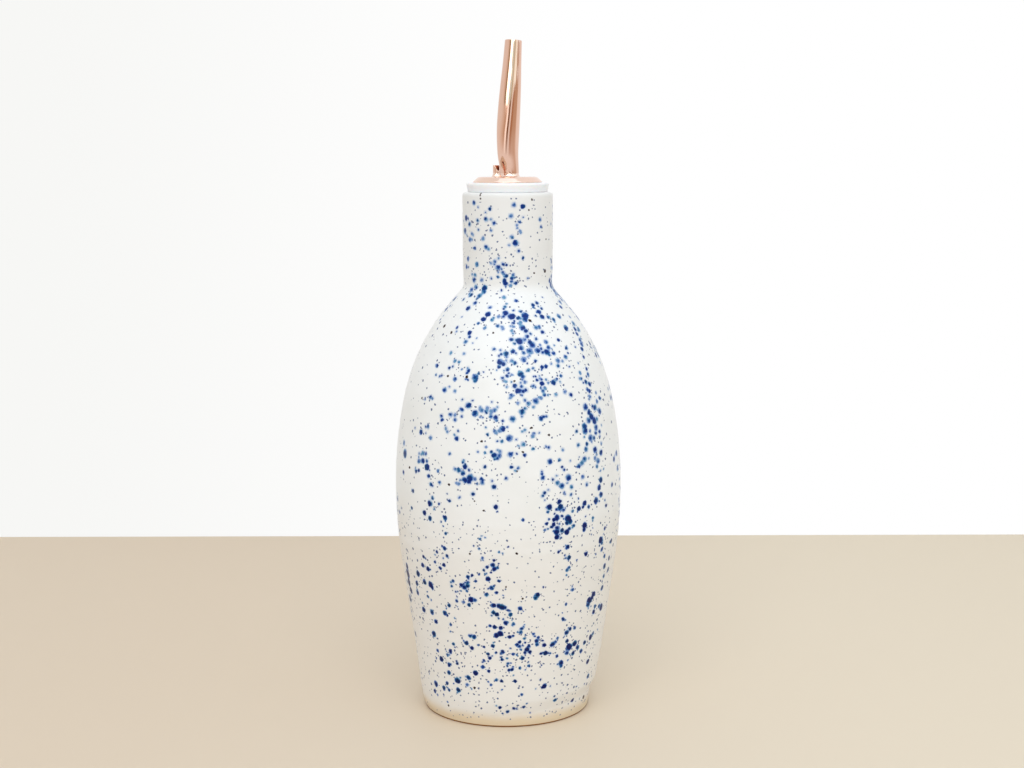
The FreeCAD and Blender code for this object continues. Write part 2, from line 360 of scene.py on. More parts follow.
def side_arcs(inset):
    """The bottle's side, or with inset its inside: flare, lower belly, upper belly, shoulder."""
    lower_centre = Vector((belly_radius - lower_belly_curve, belly_height))
    upper_centre = Vector((belly_radius - upper_belly_curve, belly_height))
    away = trim_step - lower_centre
    flare_angle = math.atan2(away.y, away.x) + math.acos(lower_belly_curve / away.length)
    square = Vector((math.cos(flare_angle), math.sin(flare_angle)))
    rise = (shoulder_start_height - belly_height) / upper_belly_curve
    shoulder_angle = math.asin(rise)
    start = on_arc(upper_centre, upper_belly_curve, shoulder_angle)
    shoulder_centre = on_arc(start, -shoulder_curve, shoulder_angle)
    end_angle = math.asin((shoulder_end_height - shoulder_centre.y) / shoulder_curve)
    points = arc_points(lower_centre, lower_belly_curve - inset, flare_angle, 0)
    points += arc_points(upper_centre, upper_belly_curve - inset, 0, shoulder_angle)[1:]
    points += arc_points(shoulder_centre, shoulder_curve - inset, shoulder_angle, end_angle)[1:]
    slope = Vector((-math.sin(end_angle), math.cos(end_angle)))
    return trim_step - square * inset, points, slope


def slope_to(start, slope, radius):
    return start + slope * ((radius - start.x) / slope.x)


def rounded_path(corners, spacing=row_spacing):
    """A line through these corners, each given with the radius that rounds it."""
    path = []
    for place, (corner, radius) in enumerate(corners):
        if radius == 0:
            path.append(corner)
            continue
        to_before = (corners[place - 1][0] - corner).normalized()
        to_after = (corners[place + 1][0] - corner).normalized()
        half = to_before.angle(to_after) / 2
        centre = corner + (to_before + to_after).normalized() * (radius / math.sin(half))
        first = corner + to_before * (radius / math.tan(half)) - centre
        last = corner + to_after * (radius / math.tan(half)) - centre
        turn = first.angle_signed(last)
        count = max(4, math.ceil(abs(turn) * radius / spacing))
        for step in range(count + 1):
            angle = math.atan2(first.y, first.x) - turn * step / count
            path.append(on_arc(centre, radius, angle))
    return path


def evenly_divided(path, spacing):
    """The same line with its long straight runs divided."""
    divided = [path[0]]
    for start, end in zip(path, path[1:]):
        count = max(1, math.ceil((end - start).length / spacing))
        divided += [start.lerp(end, step / count) for step in range(1, count + 1)]
    return divided


def bottle_outline():
    """The outside from under the foot up to the rim, and the inside from the rim down."""
    rim = bottle_height
    recess_radius = foot_radius - foot_ring_width
    foot, outside, slope = side_arcs(0)
    neck_root = slope_to(outside[-1], slope, neck_root_radius)
    inner_foot, inside, inner_slope = side_arcs(wall_thickness)
    bore_root = slope_to(inside[-1], inner_slope, neck_bore_radius)
    up_wall = inside[0] - inner_foot
    wall_foot = inner_foot - up_wall * ((inner_foot.y - floor_top) / up_wall.y)
    rim_middle = (neck_radius + neck_bore_radius) / 2

    outer = rounded_path([
        (Vector((0, foot_recess_depth)), 0),
        (Vector((recess_radius, foot_recess_depth)), foot_edge_round),
        (Vector((recess_radius, 0)), foot_edge_round),
        (Vector((foot_radius, 0)), foot_edge_round),
        (foot_top, foot_top_round),
        (foot, trim_step_round),
        *[(point, 0) for point in outside],
        (neck_root, neck_root_round),
        (neck_start, 0),
        (Vector((neck_radius, rim)), rim_outer_round),
        (Vector((rim_middle, rim)), 0),
    ])
    inner = rounded_path([
        (Vector((rim_middle, rim)), 0),
        (Vector((neck_bore_radius, rim)), rim_inner_round),
        (bore_root, bore_root_round),
        *[(point, 0) for point in reversed(inside)],
        (wall_foot, floor_corner_round),
        (Vector((0, floor_top)), 0),
    ])
    return evenly_divided(outer, row_spacing), evenly_divided(inner, row_spacing)[1:]


def smooth_step(value, start, end):
    share = min(max((value - start) / (end - start), 0), 1)
    return share * share * (3 - 2 * share)


def throwing_rings(height, angle):
    """How far the potter's fingers left the wall in or out at this place."""
    turn = height - angle / math.tau * 5 * mm
    ripple = 0.030 * mm * math.sin(math.tau * turn / (6.1 * mm))
    ripple += 0.025 * mm * math.sin(math.tau * turn / (9.7 * mm) + 1)
    strong = smooth_step(height, 66 * mm, 74 * mm) * smooth_step(height, 96 * mm, 88 * mm)
    ripple += 0.05 * mm * strong * math.sin(math.tau * turn / (5.2 * mm))
    return ripple * smooth_step(height, 11 * mm, 16 * mm) * smooth_step(height, 209 * mm, 200 * mm)


def to_camera_right(angle):
    """1 on the side to the camera's right, -1 on the left and 0 in front and behind."""
    return math.cos(angle - math.atan2(across.y, across.x))


def trim_shift(height, angle):
    """The trimmed step runs a little higher on the camera's right, and this lifts it there."""
    share = smooth_step(height, 0.6 * mm, foot_top.y) * smooth_step(height, 26 * mm, trim_step.y)
    return (to_camera_right(angle) * trim_slant - 0.2 * mm) * share


def foot_shift(height, angle):
    """The foot was trimmed a little off centre, towards the camera's left."""
    share = smooth_step(height, trim_step.y, foot_top.y)
    return -to_camera_right(angle) * foot_off_centre * share


def turned(outline, shape=None, steps=steps_around):
    """Turn an outline about an upright axis. A point on the axis becomes one corner."""
    corners = []
    rows = []
    for place, point in enumerate(outline):
        count = 1 if point.x < 0.001 * mm else steps
        rows.append((len(corners), count))
        for step in range(count):
            angle = math.tau * step / steps
            radius, height = point
            if shape:
                radius, height = shape(place, radius, height, angle)
            corners.append(Vector((radius * math.cos(angle), radius * math.sin(angle), height)))
    faces = []
    for (low, low_count), (high, high_count) in zip(rows, rows[1:]):
        for step in range(steps):
            following = (step + 1) % steps
            face = [low + step % low_count, low + following % low_count,
                    high + following % high_count, high + step % high_count]
            faces.append(tuple(dict.fromkeys(face)))
    return corners, faces


def make_piece(name, *surfaces):
    """One smooth piece from surfaces, each given as its corners and faces."""
    corners = []
    faces = []
    for own_corners, own_faces in surfaces:
        first = len(corners)
        corners += own_corners
        faces += [tuple(first + corner for corner in face) for face in own_faces]
    mesh = bpy.data.meshes.new(name)
    mesh.from_pydata(corners, [], faces)
    mesh.shade_smooth()
    piece = bpy.data.objects.new(name, mesh)
    scene.collection.objects.link(piece)
    return piece


def make_bottle():
    outer, inner = bottle_outline()

    def shape(place, radius, height, angle):
        if place >= len(outer):
            return radius, height
        if radius > 0:
            radius += throwing_rings(height, angle) + foot_shift(height, angle)
        return radius, height + trim_shift(height, angle)

    return make_piece("thrown_bottle", turned(outer + inner, shape))


# The cobalt flicks that show from the front, by where they lie: across and down in the
# photograph, and half width of the dark middle, in pixels.
neck_flicks = [
    (523, 206.5, 2.2), (514, 205, 1.8), (490, 209, 1.5), (474, 203, 1.3), (511, 216, 1.7),
    (486, 219, 1.7), (494, 223, 1.3), (520, 222, 1.3), (517, 225, 1.2), (520, 231, 1.2),
    (512, 237, 1.5), (515.5, 243, 2.6), (483, 238.5, 1.4), (470, 239.5, 1.4), (475, 248, 1.2),
    (486, 247, 1.7), (523, 258, 1.3), (495, 261.5, 1.3), (503, 264, 1.3), (506.5, 265, 1.2),
    (498, 267.7, 2.2), (477, 264.5, 1.9), (540, 219.5, 1.2), (541, 227, 1.0), (466, 218, 1.6),
    (469.5, 224, 1.5), (477.5, 220.5, 1.2), (468, 259, 1.4), (466.5, 267, 1.3), (465, 231, 1.5),
]
neck_root_flicks = [
    (503, 272.5, 1.3), (506.5, 276, 1.5), (513, 275, 1.5), (512, 278, 1.6), (498, 277, 1.3),
    (475, 275, 1.3), (474, 280, 1.6), (481.5, 280, 1.4), (504.5, 280.5, 1.9), (505.5, 283.5, 2.0),
    (511.5, 281.5, 1.4), (516, 283, 1.4), (510.5, 285.5, 1.4), (551, 286.5, 1.3),
    (549.5, 280.5, 1.2), (476, 287, 1.6), (484.5, 288, 2.6), (484, 292, 1.8), (471.5, 290, 1.5),
    (471, 295, 1.6), (479.5, 295.7, 1.9), (504, 297.5, 1.3), (516, 300.7, 1.5),
]
shoulder_flicks = [
    (475, 303, 1.4), (468, 308.5, 1.8), (490, 307.5, 1.3), (488, 314, 2.5), (483.5, 319.3, 2.1),
    (505, 306.7, 1.2), (505.5, 313, 2.4), (498.5, 316.7, 1.4), (503.5, 316.7, 1.3),
    (492, 320, 1.4), (511.5, 316.5, 3.0), (520.5, 311.5, 1.2), (525, 315.5, 3.0),
    (518.5, 318, 1.8), (525, 319.5, 2.4), (520.5, 322.5, 1.4), (513.5, 323, 1.2),
    (497.5, 326, 1.5), (502, 327, 1.2), (522.5, 327.3, 2.4), (526, 331, 1.8), (513.5, 326.5, 1.2),
    (512, 330.5, 1.2), (527, 336.5, 1.6), (511.5, 339.5, 1.7), (519.7, 341.3, 3.0),
    (524.5, 339.5, 1.5), (514.5, 343.7, 1.2), (532.5, 345, 2.6), (530, 342.5, 1.8),
    (521, 348, 2.2), (513, 351, 2.0), (506, 353.7, 2.3), (529.5, 351, 2.6), (537.5, 350.7, 2.4),
    (541, 348.5, 1.2), (548.5, 347.5, 1.7), (547, 352, 2.6), (543, 352.5, 1.3), (553.5, 353, 1.6),
    (546, 342, 1.6), (523.5, 353, 1.5), (523.7, 359.5, 2.3), (535.5, 361, 1.3), (558, 360.7, 1.9),
    (565.5, 357, 1.7), (566.5, 348, 1.5), (566, 328, 2.2), (558.5, 340, 1.5), (542.5, 332, 1.4),
    (536, 327.5, 1.8), (539, 326.8, 1.5), (536, 339, 1.2), (539, 311.8, 1.9), (542, 316.7, 2.0),
    (548.5, 317, 1.5), (553.7, 319.5, 1.4), (559, 316.5, 1.7), (537, 303, 1.4), (533, 305, 1.6),
    (541.5, 308.5, 1.2), (560, 302, 1.2), (561, 307, 1.2), (573.5, 323.5, 1.3), (575, 329, 1.3),
    (578.5, 329, 1.2), (577, 334, 1.2), (581.5, 344, 1.5), (582, 349, 1.5), (580, 340, 1.2),
    (596, 355, 1.2), (583.5, 357, 1.2), (457, 327.5, 1.2), (485, 328, 1.4), (469.5, 333, 2.0),
    (469.5, 337, 1.3), (465.7, 341.7, 1.4), (494, 349, 1.4), (451, 353, 1.2), (455, 361, 1.5),
    (459, 362, 1.2),
]
upper_belly_flicks = [
    (500, 362, 2.6), (503.5, 364, 2.0), (499, 367, 1.6), (512, 361, 1.5), (514.5, 363, 1.6),
    (507.5, 369.5, 1.8), (437, 365.8, 1.6), (449.5, 367.8, 1.2), (468.5, 370.7, 1.7),
    (467, 373, 1.2), (478.7, 373.8, 1.2), (475, 377.5, 3.0), (474.5, 381, 1.5), (455, 379, 1.8),
    (444.5, 390, 1.9), (455, 391, 1.2), (430.5, 397, 1.3), (468.5, 405.5, 2.6), (462, 410, 1.4),
    (475, 413.5, 2.7), (481.5, 410, 1.8), (486, 412.5, 1.2), (487.5, 408, 1.2), (491.5, 411.5, 1.6),
    (494.5, 410, 1.6), (490.8, 416.7, 1.6), (495.5, 418, 2.1), (441.5, 416, 1.2),
    (450.5, 414.7, 1.5), (455, 415, 1.3), (442, 420, 1.4), (455, 420, 1.4), (446, 428.7, 1.2),
    (428, 426, 1.2), (421, 432, 1.9), (430.5, 438, 1.5), (456.5, 438.5, 2.0), (487.5, 434.7, 1.4),
    (494.5, 431, 1.6), (496, 433, 1.2), (502.5, 429, 2.7), (499.5, 431, 1.5), (509.5, 438, 2.8),
    (512.5, 419, 2.5), (502.5, 378, 1.2), (507, 376, 1.6), (514.7, 386, 2.1), (520.5, 373.5, 2.8),
    (523, 376.5, 2.0), (517.7, 391, 2.4), (520, 391, 1.8), (523, 391.5, 1.5), (525.8, 390, 1.5),
    (511.5, 395.5, 1.8), (510, 398, 1.3), (521.7, 386.5, 1.2), (525, 382, 1.2), (528.5, 370, 1.4),
    (533, 368.5, 1.3), (542, 367, 1.7), (546, 366.5, 1.6), (541, 379, 1.3), (546, 379.5, 1.2),
    (542, 383.7, 2.1), (537, 380, 1.2), (533, 386, 1.4), (553.5, 382.5, 2.4), (558, 365.7, 1.5),
    (561, 376, 1.5), (556.7, 379, 1.2), (545, 388, 1.2), (543, 391, 1.7), (544.5, 394.7, 1.6),
    (541, 398, 1.6), (536, 401, 2.5), (528.5, 403.5, 1.8), (525, 408.5, 1.2), (518, 403, 1.2),
    (525, 400, 1.2), (522, 412, 2.5), (541, 418.7, 2.0), (543.8, 417, 1.5), (525, 430, 1.3),
    (532.8, 436, 1.5), (555.8, 394.5, 1.2), (565, 391.7, 1.4), (571, 394.7, 1.5), (580, 372.7, 1.4),
    (581.5, 378.5, 1.2), (588, 374, 1.3), (586.5, 369, 1.2), (586, 382, 1.5), (589.5, 384, 1.5),
    (587.5, 389.7, 1.5), (589.5, 391, 1.4), (590, 396.7, 1.3), (599.5, 398, 1.2), (597, 401.5, 1.4),
]
right_belly_flicks = [
    (585.5, 407, 2.4), (595, 407.5, 2.0), (599.5, 411, 1.8), (589, 412.5, 1.8), (591.5, 416.5, 2.4),
    (588.5, 420.5, 2.0), (594.5, 421, 2.2), (584.5, 426.5, 2.4), (585, 431, 2.6), (597, 419, 1.2),
    (596, 427.5, 1.9), (595.7, 433, 1.3), (599.5, 431.5, 1.1), (576.7, 431.5, 1.2),
    (590.5, 438, 2.4), (594, 438, 1.2), (562.7, 450, 1.1), (533, 449, 1.5), (548.8, 447.7, 1.3),
    (523.5, 444.5, 1.8), (524.7, 455, 1.7), (511.5, 467, 1.5), (518, 468, 1.3), (550, 461.5, 2.2),
    (559.5, 460, 1.5), (562, 467, 1.2), (578.5, 445, 1.4), (587, 444, 1.6), (586, 449.5, 1.9),
    (595, 450, 2.2), (601, 452.5, 1.7), (595, 458, 1.2), (598, 461, 1.7), (584.5, 459, 2.1),
    (582, 463, 1.9), (579, 466, 1.8), (597, 466.5, 1.3), (582.7, 477, 1.5), (542, 474, 1.4),
    (543, 477.7, 1.8), (553, 479.5, 1.2), (568.5, 477.5, 2.6), (557.5, 483, 1.9), (561.7, 486, 2.4),
    (571.5, 487, 1.5), (586.7, 484.5, 1.3), (571, 494.7, 1.3), (544.7, 493, 1.4), (542.7, 496, 1.2),
    (559.5, 501.7, 2.0), (549.5, 507, 2.5), (560.5, 507.5, 2.8), (563.5, 510, 1.4),
    (556.5, 509.5, 1.3), (548, 512, 1.2), (562, 516, 1.2), (557, 517, 2.1), (554, 519.7, 1.7),
    (572.7, 511, 1.3), (579, 508.7, 2.0), (584.7, 503, 2.0), (583, 507, 1.2), (588.7, 507, 1.4),
    (596, 500.7, 2.5), (601, 494.5, 2.1), (599, 487.5, 2.0), (600.7, 479.7, 2.1), (612, 484.5, 1.2),
    (593, 518, 1.3), (606, 505.5, 1.2), (614, 459, 1.2), (616.5, 453, 1.2), (617.5, 468, 1.2),
]
left_belly_flicks = [
    (404, 443, 1.2), (405, 453.5, 2.3), (403.5, 472.5, 1.2), (423, 453, 1.4), (425.7, 453.7, 1.2),
    (486, 447, 1.2), (485, 453, 1.2), (418.8, 461, 1.7), (422.8, 461, 2.0), (427, 461, 1.4),
    (427, 467, 2.6), (416, 471, 1.3), (418.7, 470.5, 1.3), (438, 471, 1.3), (428.7, 476, 1.6),
    (439.5, 482.5, 1.3), (431, 484.5, 1.5), (413, 491, 1.2), (449.8, 453.7, 1.2), (463, 462, 1.2),
    (465, 466.7, 2.0), (455, 469, 1.3), (458.7, 470, 2.0), (463, 473, 2.2), (464.5, 480, 2.5),
    (470, 477.7, 3.0), (469, 481.5, 2.0), (475, 479, 1.5), (459, 484, 1.5), (481, 479, 1.5),
    (482, 482.7, 1.5), (485, 467, 1.4), (506, 478.5, 1.2), (494, 487, 1.9), (473, 494, 1.6),
    (459.5, 497.5, 1.2), (496, 507, 2.2), (491, 452, 1.4), (494, 455.5, 2.3), (499.5, 456, 1.7),
    (497, 458.5, 1.4), (500, 451.5, 1.2), (502, 441.5, 1.6), (510.5, 454.5, 2.2), (432.5, 498, 1.4),
    (430, 503.5, 2.4), (439, 504, 1.2), (411.7, 508, 1.2), (424.5, 513, 1.9), (430, 518.5, 2.0),
    (444.8, 517.7, 2.1), (449.7, 500.7, 1.4),
]
lower_left_flicks = [
    (446, 533.5, 1.4), (444.5, 548.5, 1.8), (437, 552, 1.2), (447, 555.7, 1.4), (423.5, 556.5, 1.3),
    (422.7, 565, 1.7), (428, 568.7, 1.8), (435, 562, 1.2), (440, 568, 1.6), (444, 565, 1.6),
    (418, 573.5, 2.0), (424.7, 582, 1.9), (430.7, 584.5, 2.4), (432, 587, 1.6), (417, 583.5, 1.5),
    (417.7, 592.5, 1.6), (428, 596.5, 1.2), (453, 581, 1.4), (451.5, 586, 1.2), (468, 577, 1.8),
    (472, 575.5, 1.2), (467.5, 583, 1.4), (461.5, 585, 1.8), (464.5, 587.5, 2.0), (467.5, 586, 1.8),
    (467, 591, 1.2), (475.7, 581, 1.3), (483.7, 570, 1.2), (487, 567, 1.6), (492.5, 565, 2.0),
    (494.5, 569, 2.2), (497.5, 567.7, 1.3), (494, 560.5, 1.3), (499, 552, 1.2), (482.5, 558, 1.2),
    (479, 548.7, 1.2), (480, 539, 1.2), (488, 579, 2.3), (499, 581, 1.5), (491.5, 588, 1.9),
    (496.5, 592.7, 1.4), (486.7, 594.5, 1.8), (471, 599.5, 2.6), (407, 566, 1.6), (408, 574, 2.0),
    (409, 582, 1.8), (411, 590, 1.6), (410, 598, 1.4), (423.8, 609.7, 1.9), (432, 612, 2.0),
    (444.8, 613, 2.0), (436, 621.7, 1.7), (450.7, 624.5, 1.3), (415.5, 633.5, 1.2), (434, 634, 2.2),
    (437.7, 650.5, 1.2), (453.5, 644, 1.3), (450.5, 651.5, 1.8), (447.5, 655, 1.2), (441.5, 659, 2.0),
    (449, 664.7, 1.5), (457.5, 663.7, 1.2), (449, 672.7, 1.8), (457.5, 680.5, 2.6), (467, 684.7, 1.2),
    (458.5, 690, 2.1), (447, 683, 1.4), (444, 688, 1.7), (449, 690, 1.2), (436, 683.7, 2.1),
    (435, 691, 1.3), (468.7, 677.7, 1.9), (475.5, 673, 2.2), (482.7, 667, 1.8), (488.7, 671, 1.6),
    (475, 600, 1.8), (469, 605, 1.6), (456.7, 601, 1.3), (449, 605.5, 1.4), (464, 602, 1.2),
    (493.5, 605.5, 2.2), (502, 607, 2.8), (499, 606, 2.0), (505, 607.5, 1.5), (493.5, 612.5, 2.0),
    (497, 614.7, 1.9), (506, 623, 2.2), (500.7, 628, 1.9), (494.7, 627, 1.8), (490, 626, 1.4),
    (500.5, 633.5, 2.6), (496.5, 635.5, 2.3), (509.5, 637, 1.8), (470, 636, 1.6), (474, 637, 2.1),
    (466.5, 643, 1.9), (472, 648, 1.7), (484, 647, 1.2), (493, 646, 1.7), (488, 654, 1.4),
    (490, 658, 1.6), (484, 660.7, 1.2), (496, 652.7, 1.2), (503, 652, 1.7), (502, 659.5, 1.3),
    (508, 663.5, 1.2), (509, 670, 1.4), (496, 680, 1.4), (501.7, 681, 1.5), (491, 684.7, 1.2),
    (500, 707.7, 1.3), (507.5, 711.7, 1.5), (416.5, 650, 2.5),
]
lower_right_flicks = [
    (523, 519.7, 1.5), (546.7, 523.7, 1.5), (545, 530, 1.2), (553.5, 524.7, 1.9), (551.5, 527, 1.3),
    (557, 518.5, 2.0), (568, 518, 3.0), (570, 521.5, 2.4), (567, 523, 1.8), (573.7, 525.7, 1.5),
    (584.7, 525, 2.4), (584, 529.7, 1.9), (557, 528, 2.0), (556.5, 532, 2.6), (557, 537, 2.3),
    (562, 530.5, 1.9), (567, 532, 2.4), (569.5, 528.5, 1.3), (567.7, 547, 1.8), (566.5, 548.5, 1.0),
    (558.5, 552, 1.3), (569, 557.5, 2.0), (567, 570, 1.6), (569, 567.5, 1.4), (572.7, 589.7, 1.3),
    (537.5, 595, 2.2), (535.5, 598, 2.0), (586, 553.7, 1.7), (600.7, 540, 2.4), (602, 543, 1.2),
    (602, 549, 1.3), (604.5, 556, 1.3), (609, 558, 1.2), (611, 541, 1.2), (604.5, 566, 1.6),
    (608, 569.5, 1.2), (604.7, 528.5, 1.1), (602, 588, 1.5), (603.7, 576, 1.2), (593.5, 594, 1.9),
    (592, 597.5, 1.6), (589, 600, 2.0), (520, 608.7, 1.9), (510.5, 614.7, 1.8), (513.5, 624, 1.5),
    (521.7, 628.7, 1.5), (520.7, 632.5, 1.6), (513, 636, 1.2), (533.5, 634, 1.3), (524.5, 638.5, 1.3),
    (519.5, 642, 1.4), (517, 645, 1.6), (519.5, 646.5, 1.6), (513, 654, 1.4), (528.7, 646, 1.5),
    (527, 649.5, 2.2), (525, 653, 1.4), (530, 652, 1.5), (522.5, 658, 1.9), (512, 669.7, 1.5),
    (520, 668, 1.4), (529, 665.7, 1.3), (537, 641, 2.0), (537, 644.5, 1.7), (538.5, 637.5, 1.3),
    (544, 645, 1.8), (541, 653.5, 1.2), (545.7, 653, 1.9), (553, 644, 2.2), (551.5, 645, 1.6),
    (555.5, 642, 1.4), (557.5, 638, 1.3), (557, 656, 1.5), (561, 663, 2.3), (561, 666, 1.6),
    (563, 619, 1.6), (566, 604.5, 1.3), (570, 629, 1.3), (574.7, 628, 1.3), (566.5, 632.5, 2.0),
    (567, 641, 1.6), (569, 647, 3.0), (567, 653, 1.8), (574.5, 643.5, 2.2), (573, 653.5, 1.6),
    (577.5, 647.5, 1.7), (581, 651, 1.5), (584.5, 642.5, 1.5), (590.5, 637, 1.8), (593, 633, 1.2),
    (593.5, 612, 1.5), (595, 606.5, 1.3), (599, 606, 1.3), (601, 607, 2.0), (588, 604.5, 1.8),
    (590, 601, 1.8), (587.7, 661.5, 1.5), (588, 676, 1.4), (572.5, 700, 1.2), (555, 700, 1.4),
    (544.5, 686, 2.1), (542.5, 687.5, 1.3), (515, 681, 1.6), (521.5, 694.5, 1.2), (513.7, 708.5, 1.3),
    (524, 707, 1.3),
]
# Fine specks of cobalt, by where they lie only. They dry darker and greyer than a flick.
fine_specks = [
    (468, 202.5), (520, 210), (545.5, 207.5), (481, 215), (528.5, 218.5), (472, 221.5),
    (476.5, 224.5), (515.5, 221.5), (485, 235), (492, 235.5), (518, 234), (475, 240),
    (497.5, 242), (539.5, 240), (502, 247.5), (498, 254.5), (511, 254.5), (491, 258),
    (505.5, 257.5), (532, 258.5), (536, 266.5), (473.5, 269), (543.5, 269.5), (482.5, 274.5),
    (485.5, 275), (516.5, 277), (520, 280.5), (523, 280.5), (480, 290), (508.5, 290.5),
    (526, 286.5), (547, 287.5), (474.5, 296.5), (497, 293.5), (500, 297.5), (510, 307),
    (534.5, 308), (557, 304), (563, 315), (440, 322.5), (464.5, 324.5), (474.5, 324.5),
    (484.5, 325), (494.5, 324), (501, 322), (509, 322.5), (547, 322.5), (551, 321.5), (554, 327),
    (437.5, 328.5), (461, 332), (432.5, 335.5), (443, 334.5), (487.5, 335), (573.5, 333),
    (574, 342), (587, 344.5), (426, 346), (457.5, 347), (464.5, 345.5), (478.5, 349.5),
    (590.5, 347), (440.5, 352.5), (437, 360.5), (569, 361), (422.5, 367.5), (464.5, 367.5),
    (563.5, 368), (566.5, 365.5), (588.5, 364.5), (489.5, 370), (491, 373), (537.5, 372),
    (542, 375), (559.5, 371.5), (423, 380.5), (454.5, 375.5), (487.5, 376.5), (494.5, 379.5),
    (552.5, 377), (557.5, 375.5), (460, 386.5), (503, 381), (504, 385.5), (531, 386.5),
    (550.5, 381.5), (563.5, 385), (427, 388), (506, 392.5), (579, 392.5), (600.5, 391.5),
    (488.5, 397), (520.5, 395), (584, 397.5), (604.5, 394.5), (424.5, 403.5), (429.5, 400.5),
    (435, 404.5), (497.5, 402.5), (509.5, 403), (575, 399.5), (603.5, 400), (608, 404.5),
    (431.5, 409.5), (448.5, 409), (471.5, 410.5), (475.5, 407), (457.5, 414), (481, 416),
    (499, 415), (505, 411.5), (533, 415), (558.5, 414), (567.5, 412.5), (582, 413.5),
    (413.5, 420), (478, 420), (486.5, 421), (494, 422), (581.5, 417), (582.5, 421), (611.5, 422),
    (421, 423.5), (421, 427.5), (438, 423.5), (445, 425.5), (453, 427), (466.5, 423.5),
    (481, 425.5), (520, 428), (522.5, 425.5), (544.5, 424), (573, 426.5), (579, 424.5),
    (412.5, 431), (423.5, 434), (529, 432.5), (560, 434.5), (573, 435), (580.5, 434),
    (606.5, 434), (465.5, 440.5), (490, 438), (537.5, 439.5), (552, 437.5), (570.5, 439),
    (599.5, 438), (416.5, 445.5), (477.5, 443), (526, 441.5), (426.5, 448), (519.5, 448.5),
    (411, 457), (605.5, 459), (611.5, 455), (527, 462.5), (435, 469), (441.5, 467.5),
    (491.5, 470.5), (495.5, 469), (567, 469.5), (593, 467), (432, 475.5), (444.5, 475.5),
    (482.5, 473.5), (486.5, 475.5), (497, 475.5), (501, 474.5), (576, 472.5), (579.5, 473.5),
    (608, 475.5), (456.5, 479.5), (548.5, 479.5), (576.5, 479.5), (588, 477), (437.5, 487),
    (475, 483.5), (581.5, 484), (604, 484), (615.5, 484), (458, 489.5), (477, 489),
    (560.5, 492.5), (564, 494), (576, 491), (576, 494), (592, 494.5), (547.5, 498.5),
    (553, 499.5), (425, 501), (434.5, 502), (457.5, 505.5), (461.5, 505), (497.5, 501),
    (567.5, 506.5), (571.5, 503.5), (574.5, 502), (591.5, 504.5), (427, 509), (442, 512),
    (444.5, 509), (445.5, 512.5), (539.5, 507.5), (574.5, 507.5), (424.5, 519.5), (433.5, 522),
    (463, 522.5), (529, 522.5), (533.5, 521.5), (575.5, 522), (600.5, 523), (531.5, 525),
    (562, 533.5), (419, 538.5), (426, 537.5), (443.5, 537.5), (543.5, 542.5), (547, 542.5),
    (571, 542), (413, 548.5), (437, 547.5), (513.5, 548), (613, 545), (407, 550), (434, 550.5),
    (440, 549.5), (540, 551.5), (407.5, 558), (417.5, 560.5), (427.5, 560), (437, 557.5),
    (430, 565), (464.5, 561.5), (553.5, 566.5), (570.5, 563.5), (417, 567.5), (436.5, 572),
    (414.5, 577), (429.5, 576.5), (432, 576), (477.5, 573), (539, 577), (550.5, 573),
    (568.5, 577), (466, 580.5), (578.5, 582), (437, 587), (460, 591), (474.5, 587.5),
    (567, 589.5), (469.5, 595), (484, 592.5), (554, 591.5), (567.5, 595.5), (480.5, 598),
    (503.5, 598), (490.5, 605.5), (449, 613.5), (575.5, 611), (580.5, 611), (414.5, 618.5),
    (420, 617), (423, 618.5), (510, 618), (516, 619), (558.5, 615.5), (597, 619.5), (567, 625),
    (593.5, 623.5), (529, 629), (580.5, 628), (437.5, 638.5), (509, 633), (514, 633),
    (563.5, 637.5), (587, 636), (437.5, 644.5), (484.5, 639.5), (530, 640), (541, 641),
    (578.5, 641.5), (445.5, 649), (479.5, 645), (511, 648.5), (556, 647), (587, 645),
    (457.5, 654.5), (461, 653), (465, 654), (435.5, 661.5), (446, 662.5), (450.5, 658.5),
    (461.5, 663), (520, 658.5), (572, 658), (589.5, 657), (459, 668), (472.5, 667),
    (477.5, 665.5), (504, 667), (508.5, 663.5), (540, 667), (429, 672), (445, 673),
    (453.5, 674.5), (531.5, 670.5), (561.5, 675), (574.5, 669.5), (482.5, 675.5), (527.5, 675.5),
    (431.5, 684), (562.5, 683), (567.5, 685), (574, 687), (586.5, 684), (478.5, 688.5),
    (498, 692.5), (518.5, 688), (460.5, 695.5), (567, 693), (512.5, 703.5), (481.5, 708.5),
    (517.5, 705.5),
]
# Brown and black specks are iron in the clay that burnt through the glaze.
iron_specks = [
    (484, 192.3, 0.6), (482.6, 192.5, 0.6), (481.2, 193.1, 0.6), (480.3, 194.1, 0.6),
    (479.9, 195.4, 0.6), (480, 196.7, 0.6),
    (480.3, 198.5, 0.9), (534, 273, 1.0), (545, 271, 1.4), (532, 199.7, 1.1), (529, 210, 1.0),
    (546, 239, 0.7), (530, 320.5, 1.4), (444.5, 326, 1.3), (451.5, 332.5, 1.2), (493, 333, 1.1),
    (467, 377, 1.4), (448, 376, 0.9), (422, 398, 0.9), (514.5, 381, 1.1), (531.5, 428, 1.3),
    (548.7, 435, 1.1), (409.5, 467.5, 1.0), (481.7, 441.5, 1.0), (449, 484.7, 1.2), (474.5, 501, 0.9),
    (483.5, 510.7, 1.0), (523, 452, 1.0), (517, 471, 1.0), (470, 554, 1.0), (506, 587, 0.9),
    (517, 553.8, 1.3), (522.7, 598.7, 1.1), (474.7, 688, 1.1), (448.7, 705.5, 0.8), (583.5, 697, 1.2),
]
# How high the bare clay and the painted shadow under the foot reach
clay_and_shadow_top = 0.75 * mm
clay_and_shadow_full = 0.50 * mm
toasted_top = 6.2 * mm
toasted_full = 0.5 * mm
speck_half_width = 0.85
sprays_behind = 48
specks_all_over = 1400
speckled_top = 206 * mm
specks_low_down = 1300
low_specks_top = 85 * mm
flick_edge = 1.10
least_facing = 0.22
flicks_a_face = 12
